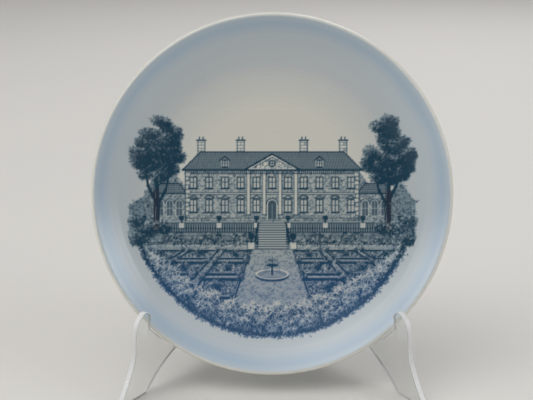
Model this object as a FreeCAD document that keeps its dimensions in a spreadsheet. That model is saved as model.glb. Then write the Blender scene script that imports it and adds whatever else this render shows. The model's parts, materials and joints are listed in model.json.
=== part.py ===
"""Souvenir plate on a clear folding display stand.

A porcelain coupe plate leans back in the notches of two flat plastic panels, which fold about
a hinge pin at the back.  Millimetres, +Z up, front towards -Y, origin on the standing surface
under the middle of the object.
"""
import FreeCAD, Part
import math
import os

import Sketcher

DIMENSIONS = {
    # plate: a revolved section, its foot at 0 and its rim at plate_depth along its own axis
    "plate_diameter": 180.0,
    "plate_depth": 20.5,
    "rim_radius": 1.4,
    "rim_front_slope": 40.0,
    "rim_back_slope": 50.0,
    "well_radius": 60.0,
    "well_level": 8.0,
    "well_thickness": 4.0,
    "shoulder_radius": 34.0,
    "shoulder_turn": 31.0,
    "back_wall_chord": 13.5,
    "front_wall_chord": 12.6,
    "foot_ring_radius": 52.0,
    "foot_ring_width": 4.5,
    "foot_ring_taper": 0.8,
    "foot_ring_rounding": 1.0,
    "hanging_hole_radius": 1.1,
    "hanging_hole_offset": 12.0,
    "hanging_hole_level": 2.1,
    "hanging_hole_overrun": 2.0,
    # where the plate stands: its rim's centre in front of the hinge, its lowest point, its lean
    "lean_angle": 17.0,
    "rim_reach": 69.8,
    "rim_lift": 9.6,
    # panels: outline in the panel's own plane, reach from the hinge axis and height above the feet
    "spread_angle": 33.0,
    "panel_thickness": 3.0,
    "panel_gap": 0.3,
    "edge_rounding": 0.5,
    "panel_start": 4.2,
    "arch_start": 24.5,
    "arch_end": 113.7,
    "arch_radius": 63.0,
    "toe_reach": 133.0,
    "toe_height": 2.6,
    "ankle_reach": 121.4,
    "ankle_height": 22.0,
    "ankle_radius": 70.0,
    "brow_reach": 120.8,
    "brow_height": 31.5,
    "brow_radius": 13.0,
    "hook_reach": 112.0,
    "hook_height": 43.6,
    "tip_reach": 108.6,
    "tip_height": 39.8,
    "throat_reach": 109.8,
    "throat_height": 33.4,
    "notch_reach": 98.4,
    "notch_height": 22.0,
    "backrest_reach": 80.6,
    "backrest_foot": 33.0,
    "backrest_top": 100.0,
    "backrest_width": 15.0,
    "back_radius": 60.0,
    "hinge_height": 62.0,
    "arch_back_rounding": 1.5,
    "arch_front_rounding": 1.0,
    "toe_rounding": 1.0,
    "toe_cap_rounding": 3.0,
    "ankle_rounding": 20.0,
    "hook_rounding": 3.0,
    "tip_rounding": 1.0,
    "throat_rounding": 2.0,
    "notch_rounding": 5.0,
    "seat_rounding": 12.0,
    "top_front_rounding": 6.0,
    "top_back_rounding": 6.5,
    "mould_mark_radius": 3.6,
    "mould_mark_depth": 0.25,
    "mould_mark_reach": 113.4,
    "mould_mark_height": 30.0,
    # hinge: five knuckles on one pin with a head at each end
    "pin_radius": 1.25,
    "pin_clearance": 0.05,
    "pin_head_radius": 2.3,
    "pin_head_height": 1.2,
    "pin_head_rounding": 0.5,
    "pin_end_gap": 0.2,
    "barrel_radius": 3.4,
    "knuckle_base": 2.0,
    "knuckle_pitch": 12.0,
    "knuckle_gap": 0.3,
    "web_overlap": 1.5,
    "bore_overrun": 10.0,
}
KNUCKLES = 5

# lengths under TOUCHING are read as none, and a pocket takes away more than LEAST_CUT mm3
TOUCHING = 0.01
LEAST_CUT = 0.1

# outlines: each corner as (across, up) expressions, and each side that is an arc, named by the
# corner it starts from, as (radius, +1 turning left or -1 turning right)
RIM_AXIS = "Size.plate_diameter / 2 - Size.rim_radius"
RIM_LEVEL = "Size.plate_depth - Size.rim_radius"
WELL_BACK = "(Size.well_level - Size.well_thickness)"
BACK_SHOULDER = "(Size.shoulder_radius + Size.well_thickness)"
RING_INNER = "(Size.foot_ring_radius - Size.foot_ring_width)"
BACKREST_SLOPE = "tan(Size.lean_angle) / cos(Size.spread_angle)"
BACKREST_TIP = (
    "Size.backrest_reach - (Size.backrest_top - Size.backrest_foot) * " + BACKREST_SLOPE
)
HOLE_DEPTH = "Size.foot_ring_radius + Size.hanging_hole_overrun"
HINGE_Y = "(Size.toe_reach * cos(Size.spread_angle) - Size.barrel_radius) / 2"

PLATE_CORNERS = {
    "back_middle": ("0", WELL_BACK),
    "ring_inner_root": (RING_INNER + " - Size.foot_ring_taper", WELL_BACK),
    "ring_inner_foot": (RING_INNER + " + Size.foot_ring_taper / 2", "0"),
    "ring_outer_foot": ("Size.foot_ring_radius - Size.foot_ring_taper / 2", "0"),
    "ring_outer_root": ("Size.foot_ring_radius + Size.foot_ring_taper", WELL_BACK),
    "back_shoulder": ("Size.well_radius", WELL_BACK),
    "back_wall": (
        "Size.well_radius + " + BACK_SHOULDER + " * sin(Size.shoulder_turn)",
        WELL_BACK + " + " + BACK_SHOULDER + " * (1 - cos(Size.shoulder_turn))",
    ),
    "rim_back": (
        RIM_AXIS + " + Size.rim_radius * sin(Size.rim_back_slope)",
        RIM_LEVEL + " - Size.rim_radius * cos(Size.rim_back_slope)",
    ),
    "rim_edge": ("Size.plate_diameter / 2", RIM_LEVEL),
    "rim_front": (
        RIM_AXIS + " - Size.rim_radius * sin(Size.rim_front_slope)",
        RIM_LEVEL + " + Size.rim_radius * cos(Size.rim_front_slope)",
    ),
    "front_wall": (
        "Size.well_radius + Size.shoulder_radius * sin(Size.shoulder_turn)",
        "Size.well_level + Size.shoulder_radius * (1 - cos(Size.shoulder_turn))",
    ),
    "front_shoulder": ("Size.well_radius", "Size.well_level"),
    "well_middle": ("0", "Size.well_level"),
}
PLATE_ARCS = {
    "back_shoulder": (BACK_SHOULDER, 1),
    "back_wall": ("Size.back_wall_chord / 2 / sin((Size.rim_back_slope - Size.shoulder_turn) / 2)", 1),
    "rim_back": ("Size.rim_radius", 1),
    "rim_edge": ("Size.rim_radius", 1),
    "rim_front": (
        "Size.front_wall_chord / 2 / sin((Size.rim_front_slope - Size.shoulder_turn) / 2)",
        -1,
    ),
    "front_wall": ("Size.shoulder_radius", -1),
}

PANEL_CORNERS = {
    "heel": ("Size.panel_start", "0"),
    "arch_back": ("Size.arch_start", "0"),
    "arch_front": ("Size.arch_end", "0"),
    "toe": ("Size.toe_reach", "0"),
    "toe_cap": ("Size.toe_reach", "Size.toe_height"),
    "ankle": ("Size.ankle_reach", "Size.ankle_height"),
    "brow": ("Size.brow_reach", "Size.brow_height"),
    "hook": ("Size.hook_reach", "Size.hook_height"),
    "tip": ("Size.tip_reach", "Size.tip_height"),
    "throat": ("Size.throat_reach", "Size.throat_height"),
    "notch": ("Size.notch_reach", "Size.notch_height"),
    "seat": ("Size.backrest_reach", "Size.backrest_foot"),
    "top_front": (BACKREST_TIP, "Size.backrest_top"),
    "top_back": (BACKREST_TIP + " - Size.backrest_width", "Size.backrest_top"),
    "shoulder": ("Size.panel_start", "Size.hinge_height"),
}
PANEL_ARCS = {
    "arch_back": ("Size.arch_radius", -1),
    "toe_cap": ("Size.ankle_radius", -1),
    "brow": ("Size.brow_radius", 1),
    "top_back": ("Size.back_radius", -1),
}

doc = FreeCAD.newDocument("souvenir_plate")
sheet = doc.addObject("Spreadsheet::Sheet", "Size")


def fill_sheet():
    for row, (alias, number) in enumerate(DIMENSIONS.items(), start=1):
        sheet.set(f"A{row}", alias)
        sheet.set(f"B{row}", str(number))
        sheet.setAlias(f"B{row}", alias)
    doc.recompute()


def value(expression):
    return float(sheet.evalExpression(expression))


def arc_between(start, end, radius, turn):
    """The short arc from start to end, turning left (+1) or right (-1)."""
    chord = end - start
    across = FreeCAD.Vector(-chord.y, chord.x, 0).normalize()
    rise = math.sqrt(radius**2 - (chord.Length / 2) ** 2)
    centre = (start + end) / 2 + across * rise * turn
    first, last = (start, end) if turn > 0 else (end, start)
    angles = [math.atan2(p.y - centre.y, p.x - centre.x) for p in (first, last)]
    if angles[1] < angles[0]:
        angles[1] += 2 * math.pi
    circle = Part.Circle(centre, FreeCAD.Vector(0, 0, 1), radius)
    return Part.ArcOfCircle(circle, angles[0], angles[1])


def bind(sketch, constraint, expression):
    number = sketch.addConstraint(constraint)
    sketch.setExpression(f"Constraints[{number}]", expression)


def new_sketch(body, name, role):
    """A sketch on one of the body's own origin planes."""
    sketch = body.newObject("Sketcher::SketchObject", name)
    plane = next(f for f in body.Origin.OriginFeatures if f.Role == role)
    sketch.AttachmentSupport = [(plane, "")]
    sketch.MapMode = "FlatFace"
    return sketch


def draw_outline(sketch, corners, arcs):
    """Close an outline through the corners, each held by its two coordinates."""
    points = [FreeCAD.Vector(value(x), value(y), 0) for x, y in corners.values()]
    sides = []
    for number, name in enumerate(corners):
        start = points[number]
        end = points[(number + 1) % len(points)]
        if name in arcs:
            radius, turn = arcs[name]
            side = sketch.addGeometry(arc_between(start, end, value(radius), turn))
            sides.append((side, 1, 2) if turn > 0 else (side, 2, 1))
            bind(sketch, Sketcher.Constraint("Radius", side, value(radius)), radius)
        else:
            side = sketch.addGeometry(Part.LineSegment(start, end))
            sides.append((side, 1, 2))
    for number, (x, y) in enumerate(corners.values()):
        side, start, _ = sides[number]
        before, _, end = sides[number - 1]
        point = points[number]
        sketch.addConstraint(Sketcher.Constraint("Coincident", before, end, side, start))
        bind(sketch, Sketcher.Constraint("DistanceX", -1, 1, side, start, point.x), x)
        bind(sketch, Sketcher.Constraint("DistanceY", -1, 1, side, start, point.y), y)


def draw_circle(sketch, across, up, radius):
    centre = FreeCAD.Vector(value(across), value(up), 0)
    circle = Part.Circle(centre, FreeCAD.Vector(0, 0, 1), value(radius))
    side = sketch.addGeometry(circle)
    bind(sketch, Sketcher.Constraint("DistanceX", -1, 1, side, 3, centre.x), across)
    bind(sketch, Sketcher.Constraint("DistanceY", -1, 1, side, 3, centre.y), up)
    bind(sketch, Sketcher.Constraint("Radius", side, value(radius)), radius)


def round_edges(body, name, base, wanted, radius):
    """Round the edges of base that wanted() picks; radius is an expression."""
    doc.recompute()
    edges = [f"Edge{i}" for i, edge in enumerate(base.Shape.Edges, start=1) if wanted(edge)]
    rounding = body.newObject("PartDesign::Fillet", name)
    rounding.Base = (base, edges)
    rounding.setExpression("Radius", radius)
    doc.recompute()
    return rounding


def cut_pocket(body, name, sketch, base, depth, reverse):
    """A pocket that must remove material."""
    doc.recompute()
    before = base.Shape.Volume
    pocket = body.newObject("PartDesign::Pocket", name)
    pocket.Profile = sketch
    pocket.Reversed = reverse
    pocket.setExpression("Length", depth)
    doc.recompute()
    if pocket.Shape.Volume > before - LEAST_CUT:
        raise RuntimeError(f"{name} cuts nothing")
    return pocket


def make_plate():
    body = doc.addObject("PartDesign::Body", "plate")
    section = new_sketch(body, "plate_section", "XZ_Plane")
    draw_outline(section, PLATE_CORNERS, PLATE_ARCS)
    turned = body.newObject("PartDesign::Revolution", "plate_turned")
    turned.Profile = section
    turned.ReferenceAxis = (section, ["V_Axis"])
    turned.Angle = 360

    def foot_edge(edge):
        box = edge.BoundBox
        return box.ZMax < TOUCHING and box.XLength > TOUCHING

    rounded = round_edges(
        body, "foot_ring_rounded", turned, foot_edge, "Size.foot_ring_rounding"
    )
    holes = new_sketch(body, "hanging_hole_centres", "XZ_Plane")
    for side in (-1, 1):
        draw_circle(
            holes,
            f"{side} * Size.hanging_hole_offset",
            "Size.hanging_hole_level",
            "Size.hanging_hole_radius",
        )
    cut_pocket(body, "hanging_holes", holes, rounded, HOLE_DEPTH, False)
    body.setExpression("Placement.Rotation.Angle", "90 deg - Size.lean_angle * 1 deg")
    body.Placement.Rotation.Axis = FreeCAD.Vector(1, 0, 0)
    body.setExpression(
        "Placement.Base.y", HINGE_Y + " - Size.rim_reach + Size.plate_depth * cos(Size.lean_angle)"
    )
    body.setExpression(
        "Placement.Base.z",
        f"Size.rim_lift + Size.rim_radius + ({RIM_AXIS}) * cos(Size.lean_angle)"
        f" - ({RIM_LEVEL}) * sin(Size.lean_angle)",
    )
    return body


def make_sheet(name, side):
    """The flat part of one panel; side is +1 for the right panel and -1 for the left."""
    body = doc.addObject("PartDesign::Body", f"{name}_sheet")
    outline = new_sketch(body, f"{name}_outline", "XZ_Plane")
    draw_outline(outline, PANEL_CORNERS, PANEL_ARCS)
    inner = "Size.panel_gap / 2"
    outer = "Size.panel_gap / 2 + Size.panel_thickness"
    offset = f"-({outer})" if side > 0 else inner
    outline.setExpression("AttachmentOffset.Base.z", offset)
    pad = body.newObject("PartDesign::Pad", f"{name}_pad")
    pad.Profile = outline
    pad.setExpression("Length", "Size.panel_thickness")
    last = pad
    for corner, (x, y) in PANEL_CORNERS.items():
        radius = f"{corner}_rounding"
        if radius not in DIMENSIONS:
            continue
        across = value(x)
        up = value(y)

        def at_corner(edge):
            middle = edge.CenterOfMass
            box = edge.BoundBox
            straight = box.XLength < TOUCHING and box.ZLength < TOUCHING
            return straight and math.hypot(middle.x - across, middle.z - up) < TOUCHING

        last = round_edges(body, f"{name}_{radius}", last, at_corner, f"Size.{radius}")

    def on_a_face(edge):
        return edge.BoundBox.YLength < TOUCHING

    last = round_edges(body, f"{name}_edges", last, on_a_face, "Size.edge_rounding")
    mark = new_sketch(body, f"{name}_mould_mark", "XZ_Plane")
    draw_circle(mark, "Size.mould_mark_reach", "Size.mould_mark_height", "Size.mould_mark_radius")
    mark.setExpression("AttachmentOffset.Base.z", f"{-side} * ({outer})")
    cut_pocket(body, f"{name}_mark", mark, last, "Size.mould_mark_depth", side > 0)
    return body


def make_cylinder(name, radius, height, base):
    cylinder = doc.addObject("Part::Cylinder", name)
    cylinder.setExpression("Radius", radius)
    cylinder.setExpression("Height", height)
    cylinder.setExpression("Placement.Base.z", base)
    return cylinder


def make_panel(name, side, knuckles):
    """One side panel: its sheet, its hinge knuckles and the bore for the pin."""
    pieces = [make_sheet(name, side)]
    for knuckle in knuckles:
        base = f"Size.knuckle_base + {knuckle} * Size.knuckle_pitch + Size.knuckle_gap / 2"
        height = "Size.knuckle_pitch - Size.knuckle_gap"
        pieces.append(make_cylinder(f"{name}_barrel_{knuckle}", "Size.barrel_radius", height, base))
        web = doc.addObject("Part::Box", f"{name}_web_{knuckle}")
        web.setExpression("Length", "Size.panel_start + Size.web_overlap")
        web.setExpression("Width", "Size.panel_thickness")
        web.setExpression("Height", height)
        near = "Size.panel_gap / 2" if side > 0 else "-Size.panel_gap / 2 - Size.panel_thickness"
        web.setExpression("Placement.Base.y", near)
        web.setExpression("Placement.Base.z", base)
        pieces.append(web)
    solid = doc.addObject("Part::MultiFuse", f"{name}_solid")
    solid.Shapes = pieces
    bore = make_cylinder(
        f"{name}_bore",
        "Size.pin_radius + Size.pin_clearance",
        "Size.hinge_height + 2 * Size.bore_overrun",
        "-Size.bore_overrun",
    )
    panel = doc.addObject("Part::Cut", name)
    panel.Base = solid
    panel.Tool = bore
    panel.Placement.Rotation = FreeCAD.Rotation(FreeCAD.Vector(0, 0, 1), -90)
    panel.setExpression("Placement.Rotation.Angle", f"-90 deg + {side} * Size.spread_angle * 1 deg")
    panel.setExpression("Placement.Base.y", HINGE_Y)
    return panel


def make_pin():
    """The hinge pin, with a rounded head at each end."""
    knuckles = f"{KNUCKLES} * Size.knuckle_pitch"
    foot = "Size.knuckle_base - Size.pin_end_gap"
    top = f"Size.knuckle_base + {knuckles} + Size.pin_end_gap"
    shaft = make_cylinder("pin_shaft", "Size.pin_radius", f"{top} - ({foot})", foot)
    pieces = [shaft]
    for name, base in (("foot", f"{foot} - Size.pin_head_height"), ("top", top)):
        head = make_cylinder(f"pin_head_{name}", "Size.pin_head_radius", "Size.pin_head_height", base)
        pieces.append(head)
    joined = doc.addObject("Part::MultiFuse", "pin_joined")
    joined.Shapes = pieces
    doc.recompute()
    pin = doc.addObject("Part::Fillet", "hinge_pin")
    pin.Base = joined
    radius = value("Size.pin_head_rounding")
    wide = value("Size.pin_head_radius")
    pin.Edges = [
        (i, radius, radius)
        for i, edge in enumerate(joined.Shape.Edges, start=1)
        if abs(edge.BoundBox.XLength - 2 * wide) < TOUCHING and edge.BoundBox.ZLength < TOUCHING
    ]
    pin.setExpression("Placement.Base.y", HINGE_Y)
    return pin


def check_document():
    doc.recompute()
    for item in doc.Objects:
        if "Invalid" in item.State or "Error" in item.State:
            raise RuntimeError(f"{item.Label} failed: {item.State}")


def export(parts):
    os.makedirs("parts", exist_ok=True)
    for part in parts:
        shape = part.Shape
        if shape.isNull() or not shape.isValid():
            raise RuntimeError(f"{part.Label} has no valid shape")
        print(f"{part.Label}: {len(shape.Solids)} solid, {shape.Volume:.0f} mm3, {shape.BoundBox}")
    for part in parts:
        part.Shape.exportStep(f"parts/{part.Label}.step")


fill_sheet()
parts = [
    make_plate(),
    make_panel("right_panel", 1, (0, 2, 4)),
    make_panel("left_panel", -1, (1, 3)),
    make_pin(),
]
check_document()
export(parts)
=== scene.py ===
"""Souvenir plate with a printed view, standing in a clear folding display stand."""

import json
import math
import random

import bpy
import numpy as np
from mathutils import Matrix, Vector


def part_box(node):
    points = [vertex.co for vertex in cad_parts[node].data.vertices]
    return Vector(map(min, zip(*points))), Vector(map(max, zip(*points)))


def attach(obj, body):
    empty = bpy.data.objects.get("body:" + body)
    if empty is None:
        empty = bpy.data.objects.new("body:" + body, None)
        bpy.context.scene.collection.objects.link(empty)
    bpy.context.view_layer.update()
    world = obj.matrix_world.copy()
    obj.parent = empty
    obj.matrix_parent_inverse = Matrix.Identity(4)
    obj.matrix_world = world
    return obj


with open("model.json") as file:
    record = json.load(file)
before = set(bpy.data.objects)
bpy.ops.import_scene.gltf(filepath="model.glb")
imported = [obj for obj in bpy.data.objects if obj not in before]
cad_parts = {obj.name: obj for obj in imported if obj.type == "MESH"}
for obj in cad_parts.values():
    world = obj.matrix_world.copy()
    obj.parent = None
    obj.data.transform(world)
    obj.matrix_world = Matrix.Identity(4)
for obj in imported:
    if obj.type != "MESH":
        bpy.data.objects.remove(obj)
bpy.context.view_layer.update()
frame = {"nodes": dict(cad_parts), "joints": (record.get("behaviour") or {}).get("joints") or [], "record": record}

# ---------------------------------------------------------------- where things are
MM = 0.001
SIDES = (-1, 1)
mounts = {mount["name"]: mount for mount in frame["record"]["mounts"]}
joints = {joint["name"]: joint for joint in frame["joints"]}

# The plate's own axes: ACROSS it, UP it in its plane, and OUT of its front.
ACROSS = Vector((1, 0, 0))
UP = Vector(mounts["hanging_hole_right"]["axis"]).normalized()
OUT = ACROSS.cross(UP).normalized()

# The plate's section in millimetres, with levels over its foot. The rolled rim is a bead, given by
# its centre line's radius and level and its own radius.
PLATE_RADIUS = 90.0
BEAD_LINE = 88.6
BEAD_LEVEL = 19.1
BEAD_RADIUS = 1.4
WELL_LEVEL = 8.0
WELL_RADIUS = 60.0
SHOULDER_RADIUS = 34.0

plate_low, plate_high = (Vector(corner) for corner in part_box("plate"))
bead_middle = (plate_low.z + plate_high.z) / 2
foot_z = bead_middle - BEAD_LEVEL * MM * OUT.z
foot_y = plate_low.y + MM * (BEAD_RADIUS + BEAD_LINE * UP.y - BEAD_LEVEL * OUT.y)
FOOT = Vector(((plate_low.x + plate_high.x) / 2, foot_y, foot_z))


def on_plate(x, y, level):
    """The place of a point x across and y up the plate, level above its foot, in millimetres."""
    return FOOT + MM * (x * ACROSS + y * UP + level * OUT)


RIM_CENTRE = on_plate(0, 0, BEAD_LEVEL + BEAD_RADIUS)


# ---------------------------------------------------------------- materials
def srgb(red, green, blue):
    """A colour given as on screen, 0 to 255, as linear values for a shader."""
    linear = []
    for channel in (red, green, blue):
        share = channel / 255
        linear.append(share / 12.92 if share <= 0.04045 else ((share + 0.055) / 1.055) ** 2.4)
    return (*linear, 1.0)


class Surface:
    """A material on one Principled shader, with short ways to add nodes to it."""

    def __init__(self, name, **sockets):
        self.material = bpy.data.materials.new(name)
        self.material.use_nodes = True
        self.tree = self.material.node_tree
        self.shader = self.tree.nodes["Principled BSDF"]
        for socket, value in sockets.items():
            self.shader.inputs[socket.replace("_", " ")].default_value = value

    def join(self, value, socket):
        """Link a node's output to a socket, or set the socket to a plain value."""
        if isinstance(value, bpy.types.NodeSocket):
            self.tree.links.new(value, socket)
        else:
            socket.default_value = value

    def node(self, kind, inputs=None, **settings):
        made = self.tree.nodes.new(kind)
        for key, value in settings.items():
            setattr(made, key, value)
        for key, value in (inputs or {}).items():
            self.join(value, made.inputs[key])
        return made

    def math(self, operation, first, second=0.0, third=0.0):
        made = self.node("ShaderNodeMath", operation=operation)
        for number, value in enumerate((first, second, third)):
            self.join(value, made.inputs[number])
        return made.outputs[0]

    def vector(self, operation, first, second=(0, 0, 0)):
        made = self.node("ShaderNodeVectorMath", {0: first, 1: second}, operation=operation)
        return made.outputs["Value" if operation in ("LENGTH", "DOT_PRODUCT") else "Vector"]

    def place(self):
        return self.node("ShaderNodeTexCoord").outputs["Object"]

    def facing(self, direction):
        """How far the surface faces a fixed direction of the object, -1 to 1."""
        normal = self.node("ShaderNodeTexCoord").outputs["Normal"]
        return self.vector("DOT_PRODUCT", normal, tuple(direction))

    def span(self, value, start, end):
        """value taken smoothly from 0 at start to 1 at end."""
        made = self.node("ShaderNodeMapRange", {"Value": value}, interpolation_type="SMOOTHSTEP")
        made.inputs["From Min"].default_value = start
        made.inputs["From Max"].default_value = end
        return made.outputs["Result"]

    def ramp(self, value, stops):
        made = self.node("ShaderNodeValToRGB", {"Fac": value})
        elements = made.color_ramp.elements
        made.color_ramp.interpolation = "EASE"
        for number, (position, colour) in enumerate(stops):
            element = elements[number] if number < 2 else elements.new(position)
            element.position = position
            element.color = colour
        return made.outputs["Color"]

    def noise(self, scale, detail=2.0, where=None, distortion=0.0):
        """Noise that varies about scale times in a metre."""
        made = self.node(
            "ShaderNodeTexNoise",
            {"Vector": where or self.place(), "Scale": scale, "Detail": detail, "Distortion": distortion},
        )
        return made.outputs["Fac"]

    def mix(self, share, first, second):
        made = self.node("ShaderNodeMix", data_type="RGBA")
        self.join(share, made.inputs["Factor"])
        self.join(first, made.inputs[6])
        self.join(second, made.inputs[7])
        return made.outputs[2]

    def bump(self, height, strength, distance):
        made = self.node("ShaderNodeBump", {"Height": height, "Strength": strength, "Distance": distance})
        self.join(made.outputs["Normal"], self.shader.inputs["Normal"])

    def colour(self, value):
        self.join(value, self.shader.inputs["Base Color"])

    def roughness(self, value):
        self.join(value, self.shader.inputs["Roughness"])


# Each stop is a radius over the plate's own radius, and the colour of the glaze there. The cream stops at the
# rim's edge are partly glaze run thin and partly a painted highlight.
FRONT_GLAZE = (
    (0.00, srgb(226, 223, 209)),
    (0.45, srgb(223, 221, 210)),
    (0.66, srgb(212, 214, 210)),
    (0.76, srgb(200, 207, 209)),
    (0.88, srgb(198, 208, 214)),
    (0.945, srgb(180, 199, 215)),
)
RIM_GLAZE_AND_PAINTED_HIGHLIGHT = (
    FRONT_GLAZE[-1],
    (0.972, srgb(190, 205, 216)),
    # cream at the rim's edge: partly glaze run thin, partly a painted highlight
    (0.990, srgb(234, 233, 224)),
)
BACK_GLAZE_AND_PAINTED_RIM_HIGHLIGHT = (
    (0.00, srgb(216, 219, 216)),
    (0.60, srgb(221, 224, 222)),
    (0.93, srgb(206, 214, 219)),
    # cream at the rim's edge: partly glaze run thin, partly a painted highlight
    (0.985, srgb(236, 235, 227)),
)


def plate_glaze(name):
    """Glazed porcelain: a cream well, a pale blue wall, a deeper blue band and a cream rim, the rim's cream partly
    thin glaze and partly a painted highlight.
    """
    surface = Surface(name, IOR=1.52, Coat_Weight=0.35, Coat_Roughness=0.04, Coat_IOR=1.5)
    offset = surface.vector("SUBTRACT", surface.place(), tuple(FOOT))
    away = surface.vector("LENGTH", surface.vector("CROSS_PRODUCT", offset, tuple(OUT)))
    radius = surface.math("DIVIDE", away, PLATE_RADIUS * MM)
    # the bands drift a little in the well and on the wall, and run true round the rim
    drift = surface.math("MULTIPLY_ADD", surface.noise(38.0, 3.0), 0.05, -0.025)
    inner = surface.ramp(surface.math("ADD", radius, drift), FRONT_GLAZE)
    # the rim's ramp ends in cream that is partly a painted highlight along the edge
    outer = surface.ramp(radius, RIM_GLAZE_AND_PAINTED_HIGHLIGHT)
    front = surface.mix(surface.span(radius, 0.93, 0.96), inner, outer)
    back = surface.ramp(radius, BACK_GLAZE_AND_PAINTED_RIM_HIGHLIGHT)
    ground = surface.mix(surface.span(surface.facing(OUT), -0.25, 0.15), back, front)
    speckle = surface.span(surface.noise(900.0, 2.0), 0.70, 0.78)
    ground = surface.mix(surface.math("MULTIPLY", speckle, 0.10), ground, srgb(150, 150, 144))
    # the foot stands on a ring left bare of glaze
    level = surface.vector("DOT_PRODUCT", offset, tuple(OUT))
    bare = surface.math("SUBTRACT", 1.0, surface.span(level, 0.0003, 0.0006))
    grain = surface.noise(1400.0, 4.0)
    biscuit = surface.mix(grain, srgb(212, 206, 192), srgb(188, 181, 166))
    ground = surface.mix(bare, ground, biscuit)
    patch = surface.math("MULTIPLY_ADD", surface.noise(120.0, 4.0), 0.07, 0.085)
    surface.roughness(surface.math("MAXIMUM", patch, surface.math("MULTIPLY", bare, 0.62)))
    # faint rings 2.6 mm apart over a slow swell
    ripple = surface.math("SINE", surface.math("MULTIPLY", away, 2400.0))
    swell = surface.math("MULTIPLY_ADD", ripple, 0.12, surface.noise(75.0, 3.0))
    surface.bump(surface.math("ADD", swell, surface.math("MULTIPLY", grain, bare)), 0.16, 0.0004)
    return surface, ground


def make_glaze():
    """The plate's glaze where nothing is printed."""
    surface, ground = plate_glaze("glaze")
    surface.colour(ground)
    return surface.material


def make_printed_glaze():
    """The same glaze under the printed view, stained with the ink that its points hold."""
    surface, ground = plate_glaze("printed_glaze")
    stored = surface.node("ShaderNodeAttribute", attribute_name="ink").outputs["Color"]
    held, in_garden, browned = surface.node("ShaderNodeSeparateColor", {"Color": stored}).outputs
    screen = surface.noise(2600.0, 1.0)
    density = surface.math("MULTIPLY", held, surface.math("MULTIPLY_ADD", screen, 0.24, 0.94))
    density = surface.math("MINIMUM", density, 1.0)
    stone = surface.mix(surface.noise(60.0, 2.0), srgb(8, 58, 84), srgb(22, 68, 88))
    garden = surface.mix(surface.noise(45.0, 2.0), srgb(12, 66, 106), srgb(28, 84, 126))
    tone = surface.mix(in_garden, stone, garden)
    tone = surface.mix(browned, tone, srgb(44, 48, 66))
    # the ink bleeds a little into the glaze as it fires, which turns the half tones blue
    reached = surface.math("MINIMUM", surface.math("MULTIPLY", density, 2.2), 1.0)
    bleed = surface.math("MULTIPLY", reached, 0.5)
    halo = surface.mix(in_garden, srgb(120, 166, 186), srgb(112, 160, 204))
    stained = surface.mix(bleed, ground, halo)
    surface.colour(surface.mix(density, stained, tone))
    return surface.material


def make_clear_plastic(name, broad):
    """Clear moulded plastic: polished faces square to the direction broad, satin cut edges."""
    surface = Surface(name, IOR=1.49, Specular_IOR_Level=0.5)
    haze = surface.noise(55.0, 3.0)
    surface.colour(surface.mix(haze, srgb(252, 252, 250), srgb(243, 245, 245)))
    face = surface.math("ABSOLUTE", surface.facing(broad))
    edge = surface.math("SUBTRACT", 1.0, surface.span(face, 0.75, 0.97))
    scuff = surface.span(surface.noise(420.0, 5.0, distortion=0.6), 0.60, 0.78)
    worn = surface.math("MULTIPLY_ADD", scuff, 0.12, 0.03)
    surface.roughness(surface.math("MULTIPLY_ADD", edge, 0.22, worn))
    # the cut edges are slightly frosted, so they scatter some light
    clear = surface.math("MULTIPLY_ADD", edge, -0.80, 0.96)
    surface.join(clear, surface.shader.inputs["Transmission Weight"])
    place = surface.node(
        "ShaderNodeMapping", {"Vector": surface.place(), "Scale": (1.0, 1.0, 0.25)}
    ).outputs["Vector"]
    flow = surface.noise(160.0, 2.0, place, 0.8)
    surface.bump(flow, 0.10, 0.0003)
    return surface.material


def make_pin_metal():
    """Satin drawn steel, its lines running along the pin."""
    surface = Surface("pin_metal", Metallic=1.0, IOR=2.5)
    place = surface.node(
        "ShaderNodeMapping", {"Vector": surface.place(), "Scale": (1.0, 1.0, 0.04)}
    ).outputs["Vector"]
    drawn = surface.noise(5200.0, 3.0, place)
    surface.colour(surface.mix(drawn, srgb(196, 197, 198), srgb(160, 162, 165)))
    surface.roughness(surface.math("MULTIPLY_ADD", drawn, 0.16, 0.20))
    surface.bump(drawn, 0.25, 0.00004)
    return surface.material


def paint(piece, material):
    """Give every slot of a piece one material."""
    slots = piece.data.materials
    if len(slots) == 0:
        slots.append(material)
    for number in range(len(slots)):
        slots[number] = material


# ---------------------------------------------------------------- the printed view, drawn in ink
# All sizes here are millimetres on the plate: x to the right of its centre, y above it. A stroke
# ends with its width and its tone: 1 is solid ink, and a negative tone wipes ink away.

# The sheet: half its width, its grid, the radius where ink ends, how dark it prints, its seed, and
# the depth below the terrace over which the ink turns from teal to the garden's blue
VIEW_HALF = 80.0
INK_CELL = 0.14
INK_RADIUS = 75.5
INK_GAIN = 1.5
INK_SEED = 11
GARDEN_FADE = 20

# The house, in heights from its ground to its ridge, its bays, wings, stone blocks and slates
HOUSE_HALF = 44.0
GROUND = -14.0
FLOOR = 0.0
EAVES = 12.0
RIDGE = 21.0
BAY = 8.0
BAYS_EACH_SIDE = 5
FRONT_HALF = 12.0
WING_OUTER = 60.0
WING_EAVES = 0.0
WING_RIDGE = 5.0
COURSE = 1.5
BLOCK = 4.0
SLATE = 0.9

# The garden: heights of the terrace and its wall, the level its paths run away to, and its beds,
# each row from its top to its foot and each column from its inner to its outer side
TERRACE = -15.0
WALL_TOP = -19.5
WALL_FOOT = -26.0
TERRACE_HALF = 68.0
STEPS_HALF = 7.0
VANISHING = 2.0
BED_ROWS = ((-29.0, -33.0), (-35.0, -41.0), (-43.5, -53.0))
BED_COLUMNS = ((10.0, 22.0), (25.0, 38.0), (41.0, 56.0))

# The trees at both sides: how far out, their foot, and their crown's middle, half width and half height
TREE_PLACE = 59.0
TREE_FOOT = -18.0
TREE_CROWN = 22.0
TREE_HALF = 13.5
TREE_RISE = 18.0

# How far from the plate's centre the distant woods and the flower bank reach
WOODS_RADIUS = 73.0
FLOWER_RADIUS = 72.2


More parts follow.
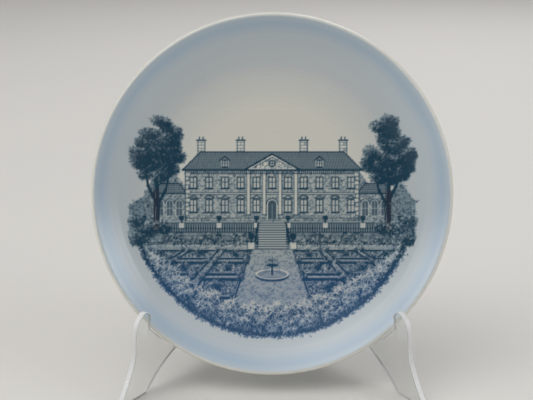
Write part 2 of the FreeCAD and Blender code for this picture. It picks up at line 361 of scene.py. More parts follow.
class Ink:
    """A sheet of ink densities, 0 bare to 1 solid, with strokes added or wiped away."""

    def __init__(self):
        count = int(2 * VIEW_HALF / INK_CELL)
        self.axis = (np.arange(count) + 0.5) * INK_CELL - VIEW_HALF
        self.density = np.zeros((count, count))
        self.brown = np.zeros((count, count))
        self.chance = random.Random(INK_SEED)

    def window(self, x0, y0, x1, y1):
        """The part of the sheet round a box, with its coordinates."""
        low = [int((v + VIEW_HALF) / INK_CELL) - 2 for v in (x0, y0)]
        high = [int((v + VIEW_HALF) / INK_CELL) + 3 for v in (x1, y1)]
        columns = slice(max(low[0], 0), max(high[0], 0))
        rows = slice(max(low[1], 0), max(high[1], 0))
        return rows, columns, self.axis[columns][None, :], self.axis[rows][:, None]

    def put(self, rows, columns, cover, tone):
        """Add ink where tone is positive, and wipe it away where tone is negative."""
        patch = self.density[rows, columns]
        if tone > 0:
            patch += (1 - patch) * cover * tone
        else:
            patch *= 1 + cover * tone

    def line(self, x0, y0, x1, y1, width, tone):
        half = width / 2
        rows, columns, x, y = self.window(
            min(x0, x1) - half, min(y0, y1) - half, max(x0, x1) + half, max(y0, y1) + half
        )
        dx = x1 - x0
        dy = y1 - y0
        along = ((x - x0) * dx + (y - y0) * dy) / max(dx * dx + dy * dy, 1e-9)
        along = np.clip(along, 0, 1)
        away = np.hypot(x - x0 - along * dx, y - y0 - along * dy)
        self.put(rows, columns, np.clip((half - away) / INK_CELL + 0.5, 0, 1), tone)

    def path(self, points, width, tone, taper=1.0):
        """A stroke through points whose width goes to width * taper at its end."""
        spans = len(points) - 1
        for number in range(spans):
            share = 1 + (taper - 1) * number / spans
            self.line(*points[number], *points[number + 1], width * share, tone)

    def stain(self, px, py, reach, amount):
        """Turn the ink brown round a point."""
        rows, columns, x, y = self.window(px - reach, py - reach, px + reach, py + reach)
        near = np.clip(1.4 - 1.4 * np.hypot(x - px, y - py) / reach, 0, 1) * amount
        patch = self.brown[rows, columns]
        np.maximum(patch, near, out=patch)

    def box(self, x0, y0, x1, y1, tone):
        rows, columns, x, y = self.window(x0, y0, x1, y1)
        across = np.clip(np.minimum(x - x0, x1 - x) / INK_CELL + 0.5, 0, 1)
        up = np.clip(np.minimum(y - y0, y1 - y) / INK_CELL + 0.5, 0, 1)
        self.put(rows, columns, across * up, tone)

    def tint(self, x0, y0, x1, y1, tone, wipe=-1.0):
        """Wipe a box, then lay an even tone over it."""
        self.box(x0, y0, x1, y1, wipe)
        self.box(x0, y0, x1, y1, tone)

    def frame(self, x0, y0, x1, y1, width, tone):
        self.path([(x0, y0), (x1, y0), (x1, y1), (x0, y1), (x0, y0)], width, tone)

    def oval(self, x, y, rx, ry, tone, softness=INK_CELL):
        rows, columns, gx, gy = self.window(x - rx, y - ry, x + rx, y + ry)
        inside = (1 - np.hypot((gx - x) / rx, (gy - y) / ry)) * min(rx, ry)
        self.put(rows, columns, np.clip(inside / softness + 0.5, 0, 1), tone)

    def arch(self, x0, x1, base, spring, tone):
        """A round-headed opening between x0 and x1."""
        middle = (x0 + x1) / 2
        half = (x1 - x0) / 2
        rows, columns, x, y = self.window(x0, base, x1, spring + half)
        head = half - np.hypot(x - middle, np.maximum(y - spring, 0))
        inside = np.minimum(head, y - base)
        self.put(rows, columns, np.clip(inside / INK_CELL + 0.5, 0, 1), tone)

    def arc(self, x, y, radius, start, end, width, tone, squash=1.0):
        """An arc stroke between two angles in degrees."""
        steps = max(4, int(abs(end - start) / 15))
        angles = [math.radians(start + (end - start) * i / steps) for i in range(steps + 1)]
        points = [(x + radius * math.cos(a), y + radius * squash * math.sin(a)) for a in angles]
        self.path(points, width, tone)

    def wash(self, inside, box, tone):
        """Ink over where inside(x, y) is positive, soft over its last 0.8 mm."""
        rows, columns, x, y = self.window(*box)
        self.put(rows, columns, np.clip(inside(x, y) / 0.8, 0, 1), tone)

    def leaf(self, x, y, length, angle, width, tone):
        """One short curved pen stroke."""
        bend = self.chance.uniform(-0.5, 0.5)
        middle = (x + 0.5 * length * math.cos(angle), y + 0.5 * length * math.sin(angle))
        end = (
            middle[0] + 0.5 * length * math.cos(angle + bend),
            middle[1] + 0.5 * length * math.sin(angle + bend),
        )
        self.path([(x, y), middle, end], width, tone, 0.5)

    def sample(self, x, y):
        """Ink at points: red its density, green how far it is the garden's blue, blue how brown."""
        # the density is the mean of the nine cells round a point, and brown that of its own cell
        column = np.clip(((x + VIEW_HALF) / INK_CELL).astype(int), 1, self.axis.size - 2)
        row = np.clip(((y + VIEW_HALF) / INK_CELL).astype(int), 1, self.axis.size - 2)
        total = np.zeros(len(x))
        for down in (-1, 0, 1):
            for over in (-1, 0, 1):
                total += self.density[row + down, column + over]
        garden = np.clip((WALL_FOOT - y) / GARDEN_FADE, 0, 1)
        brown = self.brown[row, column]
        density = 1 - (1 - total / 9) ** INK_GAIN
        return np.stack([density, garden, brown, np.ones(len(x))], axis=1)

    def foliage(self, inside, box, count, length, width, tones, lean=None):
        """Scatter leaves where inside(x, y) is positive; lean fixes their direction."""
        chance = self.chance
        for _ in range(count):
            x = chance.uniform(box[0], box[2])
            y = chance.uniform(box[1], box[3])
            if inside(x, y) <= 0:
                continue
            angle = chance.uniform(0, 2 * math.pi)
            if lean is not None:
                angle = lean + chance.gauss(0, 0.5)
            size = length * chance.uniform(0.6, 1.3)
            self.leaf(x, y, size, angle, width, chance.choice(tones))


def mirrored(x):
    """The same place on both sides of the view's middle."""
    return (-x, x)


def draw_bush(ink, x, y, rx, ry, depth=0.6, leaf=1.1):
    """A round shrub: a dark mass with lighter leaves at its upper left."""
    chance = ink.chance
    ink.oval(x, y, rx, ry, -0.35, 1.3)
    ink.oval(x, y, rx * 0.98, ry * 0.98, depth * 0.48, 1.3)
    ink.oval(x + rx * 0.2, y - ry * 0.35, rx * 0.75, ry * 0.6, depth * 0.7, 2.0)
    for _ in range(int(rx * ry * 11)):
        angle = chance.uniform(0, 2 * math.pi)
        far = math.sqrt(chance.random()) * chance.uniform(0.9, 1.08)
        px = x + rx * far * math.cos(angle)
        py = y + ry * far * math.sin(angle)
        lit = 0.5 + 0.45 * far * (math.sin(angle) - 0.6 * math.cos(angle))
        tone = depth * chance.uniform(0.35, 0.75)
        if chance.random() < 0.18 + 0.45 * lit:
            tone = -0.65 * lit
        turn = angle + chance.gauss(0, 0.7)
        ink.leaf(px, py, leaf * chance.uniform(0.6, 1.2), turn, 0.36, tone)


def draw_balustrade(ink, x0, x1, top, height):
    """Rails and turned balusters from x0 to x1."""
    pitch = 1.2
    tone = 0.9
    ink.tint(x0, top - height, x1, top, 0.34, -0.8)
    ink.line(x0, top, x1, top, 0.55, tone)
    ink.line(x0, top - 0.75, x1, top - 0.75, 0.22, tone * 0.6)
    ink.line(x0, top - height, x1, top - height, 0.40, tone)
    count = max(2, int((x1 - x0) / pitch))
    for number in range(count + 1):
        x = x0 + (x1 - x0) * number / count
        ink.line(x, top - 0.7, x, top - height + 0.3, 0.52, tone * 0.85)
        ink.oval(x, top - height * 0.62, 0.42, 0.9, tone * 0.8)


def draw_urn(ink, x, base, size):
    """A footed urn on a square block."""
    ink.box(x - size, base - 2 * size, x + size, base, -0.9)
    ink.frame(x - size, base - 2 * size, x + size, base, 0.25, 0.75)
    ink.line(x, base, x, base + size, 0.5 * size, 0.8)
    ink.oval(x, base + 1.5 * size, 0.9 * size, 0.8 * size, 0.75)
    ink.line(x - 0.9 * size, base + 2.1 * size, x + 0.9 * size, base + 2.1 * size, 0.35, 0.85)


def draw_window(ink, x, base, top, width, tone=0.8):
    """Light panes between dark bars, in a dark surround."""
    half = width / 2
    ink.box(x - half, base, x + half, top, 0.4)
    middle = base + (top - base) * 0.55
    for side in SIDES:
        for low, high in ((base + 0.4, middle - 0.25), (middle + 0.25, top - 0.45)):
            near = x + side * 0.2
            far = x + side * (half - 0.3)
            ink.box(min(near, far), low, max(near, far), high, -0.8)
    ink.frame(x - half, base, x + half, top, 0.42, tone)
    ink.line(x, base, x, top, 0.36, tone)
    ink.line(x - half - 0.6, base - 0.3, x + half + 0.6, base - 0.3, 0.4, tone)


def draw_stonework(ink, x0, y0, x1, y1, tone=0.5):
    """Coursed blocks with staggered joints."""
    course = 0
    y = y0
    while y < y1 - 0.1:
        ink.line(x0, y, x1, y, 0.26, tone)
        x = x0 + BLOCK * (0.5 if course % 2 else 1.0)
        while x < x1:
            ink.line(x, y, x, min(y + COURSE, y1), 0.24, tone)
            if ink.chance.random() < 0.35:
                ink.box(x + 0.2, y + 0.2, min(x + BLOCK - 0.2, x1), min(y + COURSE, y1), 0.2)
            x += BLOCK
        y += COURSE
        course += 1


def draw_roof(ink, middle, half, low, high, inset):
    """A hipped slate roof over middle, its hips leaning in by inset."""
    rows = int((high - low) / SLATE)
    for row in range(rows):
        share = row / rows
        y = low + (high - low) * share
        reach = half - inset * share
        ink.tint(middle - reach, y, middle + reach, y + SLATE, 0.40, -0.9)
        ink.line(middle - reach, y, middle + reach, y, 0.26, 0.55)
        x = middle - reach + (0.5 if row % 2 else 0.0) * SLATE
        while x < middle + reach:
            ink.line(x, y, x, y + SLATE, 0.22, ink.chance.uniform(0.15, 0.6))
            x += 1.5 * SLATE
    for side in SIDES:
        hip = middle + side * (half - inset)
        ink.line(middle + side * half, low, hip, high, 0.45, 0.8)
    ink.line(middle - half + inset, high, middle + half - inset, high, 0.6, 0.85)


def anywhere(x, y):
    """For foliage that fills the whole of its box."""
    return 1


def draw_woods(ink):
    """A low line of distant trees behind everything."""
    def woods(x, y):
        top = 8.0 + 3.0 * np.sin(0.2 * x) + 1.5 * np.sin(0.6 * x) - 16.0 * (x / 74.0) ** 8
        return np.minimum(top - y, WOODS_RADIUS - np.hypot(x, y))

    ink.wash(woods, (-INK_RADIUS, GROUND, INK_RADIUS, 14), 0.34)
    ink.foliage(woods, (-INK_RADIUS, GROUND, INK_RADIUS, 13), 6000, 1.3, 0.34, (0.35, 0.5, -0.45))


def draw_wing(ink, side):
    """A low wing beside the house, with three round-headed windows."""
    inner = side * HOUSE_HALF
    outer = side * WING_OUTER
    left = min(inner, outer)
    right = max(inner, outer)
    middle = (left + right) / 2
    ink.tint(left, GROUND, right, WING_EAVES, 0.20)
    ink.foliage(anywhere, (left, GROUND, right, WING_EAVES), 500, 0.9, 0.3, (0.3, 0.45, -0.5))
    draw_roof(ink, middle, (right - left) / 2 + 0.8, WING_EAVES, WING_RIDGE, 4.0)
    ink.line(left - 0.8, WING_EAVES, right + 0.8, WING_EAVES, 0.7, 0.85)
    sill = GROUND + 2.8
    spring = -5.0
    for step in (-1, 0, 1):
        x = middle + step * 4.8
        ink.arch(x - 1.9, x + 1.9, GROUND + 2.4, spring, -0.8)
        ink.arch(x - 1.5, x + 1.5, sill, spring, 0.62)
        ink.line(x, sill, x, -3.6, 0.3, -0.7)
        ink.line(x - 1.5, -7.5, x + 1.5, -7.5, 0.3, -0.7)
        ink.arc(x, spring, 2.3, 0, 180, 0.35, 0.7)
    ink.line(outer, GROUND, outer, WING_EAVES, 0.5, 0.8)


def draw_pilasters(ink):
    """Four flat pillars on the middle of the house."""
    foot = GROUND + 3
    head = EAVES - 1
    for x in (-FRONT_HALF, -BAY / 2, BAY / 2, FRONT_HALF):
        ink.box(x - 0.9, foot, x + 0.9, head, -0.85)
        ink.line(x - 0.9, foot, x - 0.9, head, 0.28, 0.65)
        ink.line(x + 0.9, foot, x + 0.9, head, 0.36, 0.8)
        for y in (EAVES - 1.8, GROUND + 3.2):
            ink.line(x - 1.3, y, x + 1.3, y, 0.5, 0.8)


def draw_pediment(ink):
    """The gable over the pilasters, with a round window in it."""
    reach = FRONT_HALF + 2
    apex = EAVES + 8
    strips = 32
    for strip in range(strips):
        share = strip / strips
        y = EAVES + (apex - EAVES) * share
        ink.box(-reach * (1 - share), y, reach * (1 - share), y + 0.3, -0.95)

    def gable(x, y):
        return reach * (apex - 1 - y) / (apex - EAVES) - abs(x)

    ink.foliage(gable, (-reach, EAVES + 1, reach, apex), 260, 0.9, 0.3, (0.35, 0.5))
    ink.path([(-reach, EAVES), (0, apex), (reach, EAVES), (-reach, EAVES)], 0.75, 0.9)
    ink.path([(-reach + 4, EAVES + 1), (0, apex - 1.6), (reach - 4, EAVES + 1)], 0.3, 0.7)
    middle = EAVES + 3.2
    ink.oval(0, middle, 1.9, 1.9, 0.7)
    ink.oval(0, middle, 1.2, 1.2, -0.8)
    ink.line(0, EAVES + 2, 0, EAVES + 4.4, 0.3, 0.8)
    ink.line(-1.2, middle, 1.2, middle, 0.3, 0.8)


def draw_door(ink):
    """A round-headed double door in the middle of the house."""
    foot = GROUND + 1
    spring = -5.5
    ink.arch(-2.6, 2.6, foot, spring, -1.0)
    ink.arch(-2.1, 2.1, foot, spring, 0.7)
    ink.line(0, foot, 0, spring, 0.3, -0.6)
    ink.arc(0, spring, 2.9, 0, 180, 0.4, 0.8)


def draw_chimneys(ink):
    """Four stone stacks behind the roof, each with two pots."""
    foot = RIDGE - 4
    head = RIDGE + 6
    for x in mirrored(2.0 * BAY) + mirrored(4.5 * BAY):
        ink.box(x - 1.8, foot, x + 1.8, head, -1.0)
        draw_stonework(ink, x - 1.8, foot, x + 1.8, head, 0.55)
        ink.frame(x - 1.8, foot, x + 1.8, head, 0.35, 0.8)
        ink.line(x - 2.3, head, x + 2.3, head, 0.6, 0.9)
        for pot in mirrored(0.9):
            ink.line(x + pot, head, x + pot, RIDGE + 7.6, 0.6, 0.7)


def draw_dormers(ink):
    """A small gabled window on each side of the roof."""
    head = EAVES + 4.8
    for x in mirrored(3.0 * BAY):
        ink.box(x - 2, EAVES + 1, x + 2, EAVES + 5, -0.9)
        draw_window(ink, x, EAVES + 1.4, head, 2.6, 0.75)
        ink.path([(x - 2.6, head), (x, EAVES + 6.8), (x + 2.6, head)], 0.5, 0.85)


def draw_cornice(ink):
    """The eaves on their row of small blocks, and the band between the two storeys."""
    ink.line(-HOUSE_HALF - 1.6, EAVES, HOUSE_HALF + 1.6, EAVES, 0.85, 0.95)
    ink.line(-HOUSE_HALF - 0.6, EAVES - 2, HOUSE_HALF + 0.6, EAVES - 2, 0.35, 0.75)
    x = -HOUSE_HALF
    while x <= HOUSE_HALF:
        ink.line(x, EAVES - 1.7, x, EAVES - 0.7, 0.5, 0.75)
        x += 1.0
    ink.box(-HOUSE_HALF - 0.4, FLOOR - 0.5, HOUSE_HALF + 0.4, FLOOR + 0.5, -0.8)
    for y in (FLOOR - 0.5, FLOOR + 0.5):
        ink.line(-HOUSE_HALF - 0.4, y, HOUSE_HALF + 0.4, y, 0.35, 0.8)


def draw_bays(ink):
    """Two storeys of windows, the lower ones under pointed and round heads by turns."""
    width = 3.6
    head = -2.4
    for bay in range(-BAYS_EACH_SIDE, BAYS_EACH_SIDE + 1):
        x = bay * BAY
        draw_window(ink, x, 2.6, 8.4, width)
        if bay == 0:
            continue
        draw_window(ink, x, -9.6, -3.0, width)
        if bay % 2:
            ink.path([(x - 2.6, head), (x, -1.0), (x + 2.6, head), (x - 2.6, head)], 0.4, 0.8)
        else:
            ink.arc(x, -3.9, 2.9, 35, 145, 0.5, 0.8)
            ink.line(x - 2.6, head, x + 2.6, head, 0.4, 0.8)


def draw_quoins(ink):
    """Long and short corner stones by turns, up both ends of the house."""
    for side in SIDES:
        edge = side * HOUSE_HALF
        ink.line(edge, GROUND, edge, EAVES, 0.5, 0.85)
        for number in range(10):
            inner = edge - side * (2.4 if number % 2 else 1.5)
            low = GROUND + 3 + number * 2.2
            left = min(edge, inner)
            right = max(edge, inner)
            ink.box(left, low, right, low + 2.0, -0.75)
            ink.frame(left, low, right, low + 2.0, 0.22, 0.6)


def draw_house(ink):
    """A plain two-storey country house, the same on both sides of its middle."""
    wall = (-HOUSE_HALF, GROUND, HOUSE_HALF, EAVES)
    ink.tint(*wall, 0.18)
    ink.foliage(anywhere, wall, 4200, 0.9, 0.3, (0.3, 0.45, -0.55))
    draw_stonework(ink, -HOUSE_HALF, GROUND, HOUSE_HALF, GROUND + 3)
    draw_chimneys(ink)
    draw_roof(ink, 0, HOUSE_HALF + 1.4, EAVES, RIDGE, 9.0)
    draw_dormers(ink)
    draw_cornice(ink)
    draw_bays(ink)
    draw_quoins(ink)
    draw_pilasters(ink)
    draw_pediment(ink)
    draw_door(ink)


def fan(u, y):
    """Where a line of the garden, u from the middle at the wall's foot, crosses height y."""
    return u * (VANISHING - y) / (VANISHING - WALL_FOOT)


def crest(x):
    """Top of the flower bank in front."""
    return -58.0 + 0.0072 * x * x + 1.2 * np.sin(0.6 * x)


def draw_terrace(ink):
    """A balustrade with urns over a stone wall, and a flight of steps in the middle."""
    wall = (-TERRACE_HALF, WALL_FOOT, TERRACE_HALF, WALL_TOP)
    ink.tint(*wall, 0.30)
    draw_stonework(ink, *wall)

    def border(x, y):
        return (WALL_TOP - 1.5 - y) * 0.6 + math.sin(0.35 * x) + math.sin(0.9 * x)

    ink.foliage(border, wall, 3200, 1.2, 0.36, (0.5, 0.65, -0.4))
    for side in SIDES:
        ends = sorted((side * STEPS_HALF, side * TERRACE_HALF))
        draw_balustrade(ink, *ends, TERRACE, TERRACE - WALL_TOP)
        for number in range(4):
            draw_urn(ink, side * (STEPS_HALF + 1 + number * 19.0), TERRACE + 0.3, 1.5)
    foot = WALL_FOOT - 2
    spread = 2.5
    steps = 11
    ink.box(-STEPS_HALF, foot, STEPS_HALF, TERRACE, -1.0)
    for number in range(steps + 1):
        y = TERRACE - (TERRACE - foot) * number / steps
        reach = STEPS_HALF + spread * number / steps
        ink.line(-reach, y, reach, y, 0.42, 0.8)
        ink.line(-reach, y - 0.4, reach, y - 0.4, 0.3, 0.35)
    for side in SIDES:
        ink.line(side * STEPS_HALF, TERRACE, side * (STEPS_HALF + spread), foot, 0.9, 0.85)
        draw_urn(ink, side * (STEPS_HALF + 3.6), WALL_FOOT + 1.4, 1.9)


def draw_bed(ink, side, column, row):
    """A clipped hedge round a bed of leaves, with a ball of box in the middle."""
    near, far = column
    top, low = row
    corners = [(side * fan(u, y), y) for u, y in ((near, top), (far, top), (far, low), (near, low))]
    hedge = 0.06 * abs(low)

    def bed(x, y):
        u = side * x * (VANISHING - WALL_FOOT) / (VANISHING - y)
        return np.minimum(np.minimum(u - near, far - u), np.minimum(top - y, y - low))

    box = (min(x for x, _ in corners), low, max(x for x, _ in corners), top)
    ink.wash(bed, box, 0.42)
    count = int(14 * (box[2] - box[0]) * (top - low))
    ink.foliage(bed, box, count, 1.1, 0.34, (0.4, 0.55, -0.5, -0.4))
    outline = corners + corners[:1]
    ink.path(outline, hedge * 0.55, 0.8)
    ink.path([(x, y + hedge * 0.3) for x, y in outline], hedge * 0.16, -0.65)
    middle_y = (top + low) / 2
    middle_x = side * fan((near + far) / 2, middle_y)
    size = 0.055 * (VANISHING - middle_y)
    draw_bush(ink, middle_x, middle_y + size * 0.5, size, size, 0.9)
    for x, y in corners:
        draw_bush(ink, x, y + hedge * 0.3, hedge * 0.6, hedge * 0.6, 0.9, 0.8)


def draw_fountain(ink, y):
    """A round basin in the middle path, with a bowl and falling water."""
    ink.oval(0, y, 8.5, 2.8, -1.0)
    ink.oval(0, y - 0.9, 8.6, 2.9, 0.75)
    ink.oval(0, y, 8.4, 2.7, -0.95)
    ink.oval(0, y, 7.4, 2.1, 0.35)
    for number in range(5):
        ink.line(-6 + number, y - 1 + 0.5 * number, 6 - number, y - 1 + 0.5 * number, 0.22, -0.6)
    ink.line(0, y, 0, y + 4.6, 1.1, 0.75)
    ink.oval(0, y + 4.6, 3.0, 0.8, 0.8)
    ink.line(0, y + 5, 0, y + 9, 0.35, 0.55)
    for side in SIDES:
        for reach in (1.2, 2.2, 3.2):
            ink.arc(side * reach * 0.5, y + 5.6, reach * 0.5, 0, 180, 0.24, 0.45, 3.4 / reach)
            ink.line(side * reach, y + 5.6, side * (reach + 0.7), y + 0.6, 0.24, 0.4)


def draw_garden(ink):
    """Gravel paths that run away to the house, a fountain, and beds on both sides."""
    def ground(x, y):
        return np.minimum(INK_RADIUS - 2.5 - np.hypot(x, y), WALL_FOOT - y)

    box = (-72, -58, 72, WALL_FOOT)
    ink.wash(ground, box, 0.20)
    ink.foliage(ground, box, 2600, 1.2, 0.28, (0.3, 0.4), 0.0)
    for row in BED_ROWS:
        for column in BED_COLUMNS:
            for side in SIDES:
                draw_bed(ink, side, column, row)
    draw_fountain(ink, -41.0)
    # nothing of the beds past the flowers' outer edge
    below = ink.axis[:, None] < WALL_FOOT
    past = np.hypot(ink.axis[None, :], ink.axis[:, None]) - FLOWER_RADIUS + 1.0
    ink.density *= 1 - below * np.clip(past, 0, 1)


def draw_flowers(ink):
    """The bank of leaves and blossoms along the lower edge of the view."""
    chance = ink.chance

    def bank(x, y):
        return np.minimum(crest(x) - y, FLOWER_RADIUS - np.hypot(x, y))

    blossoms = 520
    petals = 7
    strays = 1500
    box = (-FLOWER_RADIUS, -FLOWER_RADIUS, FLOWER_RADIUS, -24)
    ink.wash(bank, box, 0.50)
    ink.wash(lambda x, y: np.minimum(bank(x, y), (crest(x) - 4 - y) / 12), box, 0.44)
    ink.foliage(bank, box, 7000, 1.7, 0.42, (0.45, 0.6, -0.28, -0.38), 1.57)
    for _ in range(blossoms):
        px = chance.uniform(-68, 68)
        py = crest(px) + 0.6 - abs(chance.gauss(0, 6.5))
        if FLOWER_RADIUS - 1.7 - math.hypot(px, py) <= 0:
            continue
        turn = chance.uniform(0, 6.3)
        near = min(max((crest(px) - py) / 16, 0), 1)
        size = chance.uniform(1.9, 3.3) * (1 - 0.25 * near)
        light = -0.9 + 0.35 * near
        ink.oval(px + 0.3, py - 0.9, size * 0.8, size * 0.6, 0.45, 0.8)
        for petal in range(petals):
            angle = turn + petal * 0.9 + chance.gauss(0, 0.25)
            ink.leaf(px, py, size * chance.uniform(0.7, 1.2), angle, 0.5, light)
        if chance.random() < 0.5:
            ink.oval(px, py, 0.3, 0.3, 0.6)
    # rough outer edge, where leaves stand past the ground
    for _ in range(strays):
        angle = chance.uniform(math.radians(199), math.radians(341))
        far = chance.gauss(FLOWER_RADIUS - 0.4, 0.7)
        turn = chance.uniform(0, 6.3)
        tone = chance.choice((0.5, 0.65))
        ink.leaf(far * math.cos(angle), far * math.sin(angle), 1.1, turn, 0.36, tone)


def draw_tree(ink, side):
    """A broad round-headed tree: a forked trunk and a crown of leafy clumps."""
    chance = ink.chance
    x = side * TREE_PLACE
    trunk = [(x, TREE_FOOT), (x - side * 0.8, TREE_FOOT + 12), (x, TREE_FOOT + 24)]
    limbs = [
        [trunk[1], (x + side * 4, TREE_FOOT + 22), (x + side * 7, TREE_CROWN + 2)],
        [trunk[1], (x - side * 5, TREE_FOOT + 20), (x - side * 9, TREE_CROWN - 2)],
        [trunk[2], (x - side * 2, TREE_CROWN + 4), (x - side * 4, TREE_CROWN + 12)],
    ]
    ink.path(trunk, 3.0, 0.9, 0.6)
    ink.path([(px - 0.7, py) for px, py in trunk], 0.35, -0.6, 0.6)
    for limb in limbs:
        ink.path(limb, 1.4, 0.9, 0.4)
    clumps = []
    for _ in range(60):
        angle = chance.uniform(0, 2 * math.pi)
        far = math.sqrt(chance.random()) * 0.86
        clumps.append(
            (x + TREE_HALF * far * math.cos(angle), TREE_CROWN + TREE_RISE * far * math.sin(angle))
        )
    for px, py in sorted(clumps, key=lambda clump: clump[1]):
        size = chance.uniform(3.0, 4.6)
        room = INK_RADIUS - 1.0 - math.hypot(px, py)
        if room > size * 0.6:
            draw_bush(ink, px, py, size, size * 0.75, chance.uniform(0.75, 0.95), 1.2)
    for number in range(9):
        py = TREE_FOOT + 1 + number * 2.2
        ink.stain(x, py, 2.4, 0.8)
    for step, rise, size in ((-3, 1, 4.4), (3, 0, 4.0), (8, -1, 5.0), (9.5, -5, 4.2), (10, 4, 4.0)):
        draw_bush(ink, x + side * step, TREE_FOOT + rise, size, size * 0.8, 0.85)


def draw_view():
    """The whole view: a country house over its garden, between two trees."""
    ink = Ink()
    draw_woods(ink)
    for side in SIDES:
        draw_wing(ink, side)
    draw_house(ink)
    draw_garden(ink)
    draw_terrace(ink)
    for side in SIDES:
        draw_tree(ink, side)
    draw_flowers(ink)
    # soft fade of everything at the edge of the transfer
    far = np.hypot(ink.axis[None, :], ink.axis[:, None])
    ink.density *= np.clip((INK_RADIUS + 1.5 - far) / 1.5, 0, 1)
    return ink


# ---------------------------------------------------------------- the transfer that carries the view
# In millimetres: the spacing of its points, its radius and its straight upper edge, how far it lies
# over the glaze, the width of its border, and the share of its lift that the border dips below
FILM_STEP = 0.40
FILM_RADIUS = 77.2
FILM_SKY = 44.0
FILM_LIFT = 0.065
FILM_TAPER = 1.6
FILM_DIP = 0.25


def front_level(away):
    """Height of the plate's front over its foot at a distance from its axis."""
    past = np.clip(away - WELL_RADIUS, 0, None)
    rise = SHOULDER_RADIUS - np.sqrt(SHOULDER_RADIUS**2 - past**2)
    return WELL_LEVEL + rise


def make_printed_view():
    """A thin film on the plate's front with the ink stored at its points."""
    ink = draw_view()
    count = int(FILM_RADIUS / FILM_STEP)
    line = np.arange(-count, count + 1) * FILM_STEP
    x, y = np.meshgrid(line, line)
    away = np.hypot(x, y)
    inside = (away <= FILM_RADIUS) & (y < FILM_SKY)
    number = np.full(x.shape, -1)
    number[inside] = np.arange(inside.sum())
    whole = inside[:-1, :-1] & inside[1:, :-1] & inside[:-1, 1:] & inside[1:, 1:]
    corners = (number[:-1, :-1], number[:-1, 1:], number[1:, 1:], number[1:, :-1])
    faces = np.stack([corner[whole] for corner in corners], axis=1)
    x = x[inside]
    y = y[inside]
    away = away[inside]
    # the film lies proud of the glaze, and its border dips just under the plate's front
    border = np.minimum(FILM_RADIUS - away, FILM_SKY - y)
    level = front_level(away) + FILM_LIFT * np.clip(border / FILM_TAPER - FILM_DIP, -FILM_DIP, 1)
    points = np.array(FOOT) + MM * (
        x[:, None] * np.array(ACROSS) + y[:, None] * np.array(UP) + level[:, None] * np.array(OUT)
    )
    mesh = bpy.data.meshes.new("printed_view")
    mesh.from_pydata(points.tolist(), [], faces.tolist())
    mesh.shade_smooth()
    stored = mesh.color_attributes.new("ink", "FLOAT_COLOR", "POINT")
    stored.data.foreach_set("color", ink.sample(x, y).ravel())
    piece = bpy.data.objects.new("printed_view", mesh)
    bpy.context.scene.collection.objects.link(piece)
    paint(piece, make_printed_glaze())
    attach(piece, "plate")


make_printed_view()
paint(frame["nodes"]["plate"], make_glaze())
for panel, fold in (("right_panel", "right_fold"), ("left_panel", "left_fold")):
    # a panel stands upright, turned out from the fore-and-aft plane by what its joint folds back
    spread = math.radians(sum(joints[fold]["range_deg"]))
    broad = (math.cos(spread), -math.sin(spread), 0)
    paint(frame["nodes"][panel], make_clear_plastic("clear_" + panel, broad))
paint(frame["nodes"]["hinge_pin"], make_pin_metal())

# ---------------------------------------------------------------- floor, lights and camera
FLOOR_HALF = 6.0
WARM = (1.0, 0.985, 0.96)
COOL = (0.96, 0.985, 1.0)
PALE = (0.97, 0.985, 1.0)
WHITE = (1, 1, 1)
LIGHTS = (
    # name, place in metres, width in metres, power in watts, colour
    ("key", (-0.8, -0.4, 1.6), 2.8, 15.5, WARM),
    ("right_fill", (1.6, -0.55, 0.95), 1.6, 8, COOL),
    ("left_fill", (-1.6, -0.45, 0.95), 1.6, 6, PALE),
    ("back", (0.5, 1.3, 1.2), 1.5, 10, WHITE),
)
# The studio around it: pairs of a height, 0 at the horizon and 1 overhead, and how light it is there.
# A ramp starts with stops at 0 and 1, so those two come first.
SKY = ((0.0, 0.80), (1.0, 0.92), (0.08, 0.62), (0.26, 0.24))
SKY_STRENGTH = 0.62
# The camera: metres from the rim, lens and sensor in millimetres, and shifts in shares of the picture
VIEW_DISTANCE = 0.5
LENS_LENGTH = 68.2
SENSOR_WIDTH = 36
SHIFT_ACROSS = -0.0107
SHIFT_UP = -0.0122


def make_floor():
    """A plain pale floor, slightly uneven in colour and gloss."""
    surface = Surface("studio_floor")
    surface.colour(surface.mix(surface.noise(3.0, 3.0), srgb(226, 223, 217), srgb(221, 219, 214)))
    surface.roughness(surface.math("MULTIPLY_ADD", surface.noise(30.0, 3.0), 0.10, 0.60))
    mesh = bpy.data.meshes.new("studio_floor")
    half = FLOOR_HALF
    corners = [(-half, -half, 0), (half, -half, 0), (half, half, 0), (-half, half, 0)]
    mesh.from_pydata(corners, [], [(0, 1, 2, 3)])
    floor = bpy.data.objects.new("studio_floor", mesh)
    bpy.context.scene.collection.objects.link(floor)
    paint(floor, surface.material)


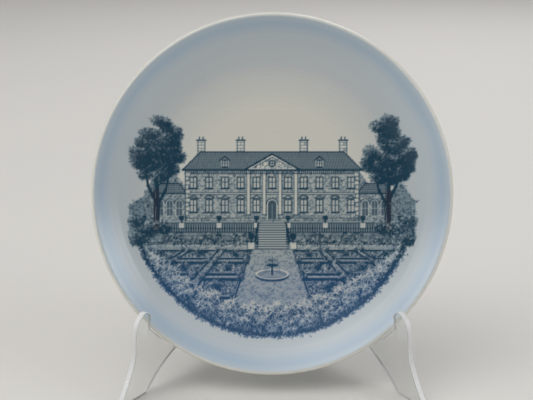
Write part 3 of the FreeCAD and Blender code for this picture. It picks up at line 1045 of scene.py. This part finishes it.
def add_light(name, place, size, energy, colour):
    """A square soft light aimed at the plate, fading to nothing at its edges."""
    lamp = bpy.data.lights.new(name, "AREA")
    lamp.shape = "SQUARE"
    lamp.size = size
    lamp.energy = energy
    lamp.color = colour
    lamp.use_nodes = True
    tree = lamp.node_tree
    across = tree.nodes.new("ShaderNodeNewGeometry")
    from_middle = tree.nodes.new("ShaderNodeVectorMath")
    from_middle.operation = "DISTANCE"
    from_middle.inputs[1].default_value = (0.5, 0.5, 0)
    tree.links.new(across.outputs["Parametric"], from_middle.inputs[0])
    fade = tree.nodes.new("ShaderNodeMapRange")
    fade.interpolation_type = "SMOOTHSTEP"
    fade.inputs["From Min"].default_value = 0.5
    fade.inputs["From Max"].default_value = 0.0
    fade.inputs["To Max"].default_value = 3.0
    tree.links.new(from_middle.outputs["Value"], fade.inputs["Value"])
    tree.links.new(fade.outputs["Result"], tree.nodes["Emission"].inputs["Strength"])
    holder = bpy.data.objects.new(name, lamp)
    holder.location = Vector(place)
    holder.rotation_euler = (RIM_CENTRE - holder.location).to_track_quat("-Z", "Y").to_euler()
    bpy.context.scene.collection.objects.link(holder)


def make_studio():
    """The world: bright overhead and along the horizon, dimmer between."""
    world = bpy.data.worlds.new("studio")
    world.use_nodes = True
    sky = world.node_tree
    direction = sky.nodes.new("ShaderNodeTexCoord")
    parts = sky.nodes.new("ShaderNodeSeparateXYZ")
    height = sky.nodes.new("ShaderNodeValToRGB")
    height.color_ramp.interpolation = "EASE"
    stops = height.color_ramp.elements
    for number, (level, grey) in enumerate(SKY):
        stop = stops[number] if number < 2 else stops.new(level)
        stop.color = (grey, grey, grey * 1.02, 1)
    sky.links.new(direction.outputs["Generated"], parts.inputs["Vector"])
    sky.links.new(parts.outputs["Z"], height.inputs["Fac"])
    sky.links.new(height.outputs["Color"], sky.nodes["Background"].inputs["Color"])
    sky.nodes["Background"].inputs["Strength"].default_value = SKY_STRENGTH
    bpy.context.scene.world = world
    bpy.context.scene.view_settings.view_transform = "Standard"


def make_camera():
    """A camera in front of the plate, looking square at its face."""
    lens = bpy.data.cameras.new("camera")
    lens.lens = LENS_LENGTH
    lens.sensor_width = SENSOR_WIDTH
    lens.shift_x = SHIFT_ACROSS
    lens.shift_y = SHIFT_UP
    camera = bpy.data.objects.new("camera", lens)
    camera.location = RIM_CENTRE + VIEW_DISTANCE * OUT
    camera.rotation_euler = (-OUT).to_track_quat("-Z", "Y").to_euler()
    bpy.context.scene.collection.objects.link(camera)
    bpy.context.scene.camera = camera


make_floor()
for light in LIGHTS:
    add_light(*light)
make_studio()
make_camera()
